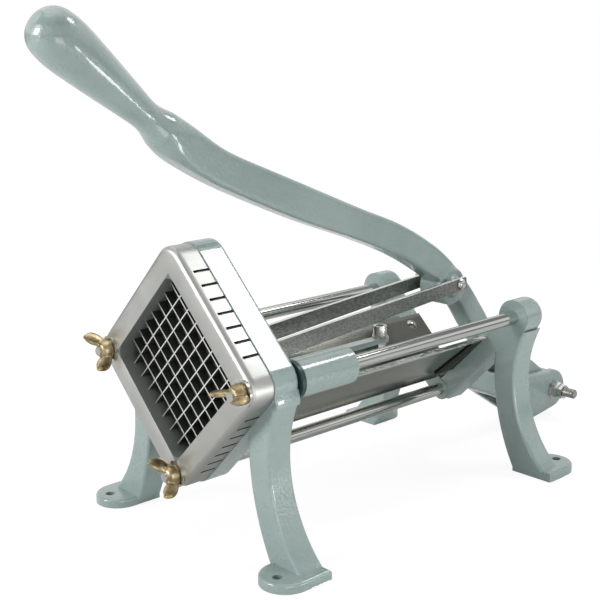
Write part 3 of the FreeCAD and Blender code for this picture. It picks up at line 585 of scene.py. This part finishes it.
def trough_skin():
    """Sections across the sheet at each station along Y. Each side of the sheet is an arc at the bottom,
    r * (sin a, -cos a) about the bend's middle, with straight walls at 45 degrees, z = x + bend_z -
    r * sqrt(2), and level lips, which have no width where the castings are. The last section lies
    further back near the tops of the walls than at the bottom."""
    half_bend = np.radians(np.linspace(0, 45, 7))
    rake_from, rake_to = 18.0, 20.0
    mitre = sheet_t * math.tan(math.radians(22.5))
    sides = []
    for r, shift in ((bend_r, 0.0), (bend_r - sheet_t, mitre)):
        wall = np.array([rake_from, rake_to, wall_x]) - shift
        climb = wall + bend_z - r * math.sqrt(2)
        x = np.concatenate([r * np.sin(half_bend), wall, [wall_x]])
        z = np.concatenate([bend_z - r * np.cos(half_bend), climb, climb[-1:]])
        tip = np.arange(len(x)) == len(x) - 1
        half = np.stack([x, z, tip], axis=1)
        sides.append(np.concatenate([half[:0:-1] * [-1, 1, -1], half]))
    x, z, tip = np.concatenate([sides[0], sides[1][::-1]]).T
    stations = [(trough_front, 0, 0), (lip_front, 0, 0), (lip_front, lip_w, 0), (lip_rear, lip_w, 0),
                (lip_rear, 0, 0), (trough_rear, 0, tail_rake)]
    y, lip, back = np.array(stations).T[:, :, None]
    raked = np.abs(x) > (rake_from + rake_to) / 2
    return closed_tube(np.stack([x + lip * tip, y + back * raked, z + 0 * y], axis=2) / 1000)


def shade_wedge_skin(side):
    """Black wedge of painted shade under a wall: at the distance s along the wall, counted from the end of
    the bend, it reaches from y = 90 + 0.33 s back to the casting. Its two faces are the wall's, moved out and
    down by top and by foot."""
    top, foot = 0.05, 1.1
    s = np.linspace(9.0, 50.0, 12)[:, None]
    below = np.array([top, top, foot, foot])
    x = (bend_r + s) * math.sqrt(0.5) + below
    y = np.where([True, False, False, True], 90.0 + 0.33 * s, casting_face)
    z = bend_z + (s - bend_r) * math.sqrt(0.5) - below
    return closed_tube(np.stack([side * x, y, z], axis=2) / 1000)


sheet = make_sheet()
trough = new_piece("bent_trough", [trough_skin()], sheet, "base")
trough.data.polygons.foreach_set("use_smooth", [False] * len(trough.data.polygons))
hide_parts("trough")
dress("trough_screws", sheet)
# Painted shade: black wedges under the trough's walls stand for the shade in front of the casting's arms.
painted_shade_strip = make_rubber_and_shade("painted_shade_strip", (0.01, 0.012, 0.011, 1))
new_piece("trough_shade_wedges", [shade_wedge_skin(1), shade_wedge_skin(-1)], painted_shade_strip, "base")


# Roots of the front legs: the casting runs from the ring's side corners into the legs without
# a step, so a small web fills the corner above the top of each leg.
def root_skin(side):
    """A prism whose outline runs from the ring's corner down to the leg. Towards its front and back
    faces the outline shrinks to a share of itself about its middle, which rounds the edges."""
    middle = np.array([77.5, 112.0])
    outline = np.array([(76.0, 109.0), (76.0, 118.5), (81.6, 119.0), (82.4, 115.5), (83.05, 111.9),
                        (82.6, 109.0)])
    stations = ((-133.98, 0.9), (-133.5, 0.96), (-132.4, 1.0), (-115.6, 1.0), (-114.5, 0.96), (-114.02, 0.9))
    y, share = np.array(stations).T[:, :, None]
    x, z = np.moveaxis(middle + (outline - middle) * share[..., None], 2, 0)
    return closed_tube(np.stack([side * x, y + 0 * x, z], axis=2) / 1000)


roots = new_piece("leg_roots", [root_skin(1), root_skin(-1)], sage_enamel, "base")
roots.data.set_sharp_from_angle(angle=math.radians(30))


# Links: two flat bars of rolled steel, sheared to length and a little narrower at the lever,
# with a painted highlight along the top edge and a dark, finely pitted skin.
link_front, link_rear = np.array([-93.0, grid_z]), np.array([117.0, 139.0])
link_reach = float(np.linalg.norm(link_rear - link_front))
link_along = (link_rear - link_front) / link_reach
link_up = np.array([-link_along[1], link_along[0]])
link_inner, link_outer = 15.0, 18.0
front_half, rear_half = 6.25, 5.1


def make_link_steel():
    made, place = new_finish("rolled_link_steel")
    y, z = place.axis("Y") - link_front[0] / 1000, place.axis("Z") - link_front[1] / 1000
    up = y * link_up[0] + z * link_up[1]
    along = y * link_along[0] + z * link_along[1]
    # Painted highlight: the top edge of each link is coloured bright steel.
    edge = up > 0.0059 - along.ramp(0.06, 0.21) * ((front_half - rear_half) / 1000)
    pits = place.stretched(1.0, 0.45, 1.0).grain(900.0, 3.0, 0.6).ramp(0.35, 0.7)
    cloud = place.stretched(1.0, 0.3, 1.0).grain(60.0, 3.0)
    steel = pits.blend((0.19, 0.2, 0.188, 1), (0.34, 0.352, 0.33, 1))
    coat_with(place, Base_Color=edge.blend(steel, (0.75, 0.75, 0.72, 1)), Metallic=1.0,
              Roughness=0.24 + cloud * 0.16, Normal=pits.bump(0.25, 0.0004))
    return made


def link_skin(side):
    """A flat bar: at the distance s from the front pivot its section is an oblong from link_inner to
    link_outer in x, and from -half to half across link_up. The half width falls off at both ends."""
    front_end = [(-6.6, 4.2), (-6.0, 5.6), (-4.8, front_half), (60.0, front_half)]
    rear_end = [(0.0, rear_half), (4.8, 5.0), (6.2, 4.4), (6.6, 3.4)]
    s, half = np.array(front_end + [(link_reach + past, wide) for past, wide in rear_end]).T[:, :, None]
    across = half * np.array([-1, -1, 1, 1])
    x = side * np.array([link_inner, link_outer, link_outer, link_inner]) + 0 * across
    y, z = np.moveaxis(link_front + s[..., None] * link_along + across[..., None] * link_up, 2, 0)
    return closed_tube(np.stack([x, y, z], axis=2) / 1000)


link_steel = make_link_steel()
for name, side in (("link_left", -1), ("link_right", 1)):
    bar = new_piece("flat_" + name, [link_skin(side)], link_steel, "links")
    bar.data.polygons.foreach_set("use_smooth", [False] * len(bar.data.polygons))
    bevel = bar.modifiers.new("worn_corners", "BEVEL")
    bevel.width, bevel.segments, bevel.limit_method = 0.00035, 2, "ANGLE"
    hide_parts(name)


# Floor, lamps and camera: a white sweep that keeps a soft shadow, two broad lamps for the
# general light and four small ones that draw the bright lines on the enamel and the steel.
def flat_sheet(name, half, z):
    """Square of the ground at height z."""
    mesh = bpy.data.meshes.new(name)
    corners = [(-half, -half, z), (half, -half, z), (half, half, z), (-half, half, z)]
    mesh.from_pydata(corners, [], [(0, 1, 2, 3)])
    made = bpy.data.objects.new(name, mesh)
    bpy.context.scene.collection.objects.link(made)
    return made


floor = flat_sheet("floor", 40.0, -0.0005)
floor_paint, place = new_finish("floor_white")
rays = place.node("LightPath", output="Is Camera Ray")
matt = place.node("BsdfDiffuse", inputs={"Color": rays.blend((0.8, 0.8, 0.8, 1), (0.16, 0.16, 0.16, 1))})
far = place.node("VectorMath", {"operation": "LENGTH"}, {0: place}, 1).ramp(0.5, 1.3)
glow = place.node("Emission", inputs={"Strength": rays * 0.9})
near = place.node("AddShader", inputs={0: matt, 1: glow})
white = place.node("Emission", inputs={"Strength": 1.0})
ground = place.node("MixShader", inputs={0: far * rays, 1: near, 2: white})
place.node("OutputMaterial", inputs={"Surface": ground})
floor.data.materials.append(floor_paint)

world = bpy.data.worlds.new("studio")
bpy.context.scene.world = world
world.use_nodes = True
world.node_tree.nodes.clear()
sky = Link(world.node_tree)
seen = sky.node("LightPath", output="Is Camera Ray")
glossy, clear = (sky.node("LightPath", output="Is %s Ray" % kind) for kind in ("Glossy", "Transmission"))
mirrored = glossy.larger(clear)
height = sky.node("TexCoord").axis("Z")
band = height.ramp(0.02, 0.2) * (1.0 - height.ramp(0.47, 0.6) * 0.85 * (1.0 - height.ramp(0.8, 0.95)))
strength = 0.32 + seen * 0.68 + mirrored * (1 - seen) * (band * 0.78 - 0.16)
backdrop = sky.node("Background", inputs={"Color": (1, 1, 1, 1), "Strength": strength})
sky.node("OutputWorld", inputs={"Surface": backdrop})


def lamp(name, spot, target, size, power):
    """Soft square lamp at a spot, turned to a target."""
    data = bpy.data.lights.new(name, "AREA")
    data.shape, data.size, data.energy = "SQUARE", size, power
    made = bpy.data.objects.new(name, data)
    made.location = spot
    made.rotation_euler = (Vector(target) - Vector(spot)).to_track_quat("-Z", "Y").to_euler()
    bpy.context.scene.collection.objects.link(made)


middle = (0, 0, 0.15)
lamp("lamp_above", (-0.5, 0.3, 1.9), middle, 2.2, 15)
lamp("lamp_front", (-0.6, -2.0, 0.9), middle, 0.8, 29)
lamp("lamp_right_front", (0.62, -0.36, 0.1), (0.09, -0.12, 0.08), 0.3, 0.9)
lamp("lamp_high_back", (0.42, 0.88, 1.36), (0.05, -0.12, 0.17), 0.36, 5.6)
grip_middle = (0, -0.19, 0.31)
lamp("lamp_streak_near", (0.5, 0.1, 0.045), grip_middle, 0.1, 0.4)
lamp("lamp_streak_far", (0.85, 0.13, 0.06), grip_middle, 0.12, 0.5)

camera_spot = (0.595339, -0.57774, 0.336682)
azimuth, elevation, roll = math.radians(47.824), math.radians(13.119), math.radians(-0.852)
back = Vector((math.sin(azimuth) * math.cos(elevation), -math.cos(azimuth) * math.cos(elevation),
               math.sin(elevation)))
right = Vector((math.cos(azimuth), math.sin(azimuth), 0))
up = back.cross(right)
turned_right = right * math.cos(roll) + up * math.sin(roll)
turned_up = up * math.cos(roll) - right * math.sin(roll)
view = bpy.data.cameras.new("photo_view")
view.lens, view.sensor_width = 69.864, 36.0
camera = bpy.data.objects.new("photo_view", view)
turn = Matrix((turned_right, turned_up, back)).transposed().to_4x4()
camera.matrix_world = Matrix.Translation(camera_spot) @ turn
bpy.context.scene.collection.objects.link(camera)
bpy.context.scene.camera = camera
bpy.context.scene.view_settings.view_transform = "Standard"
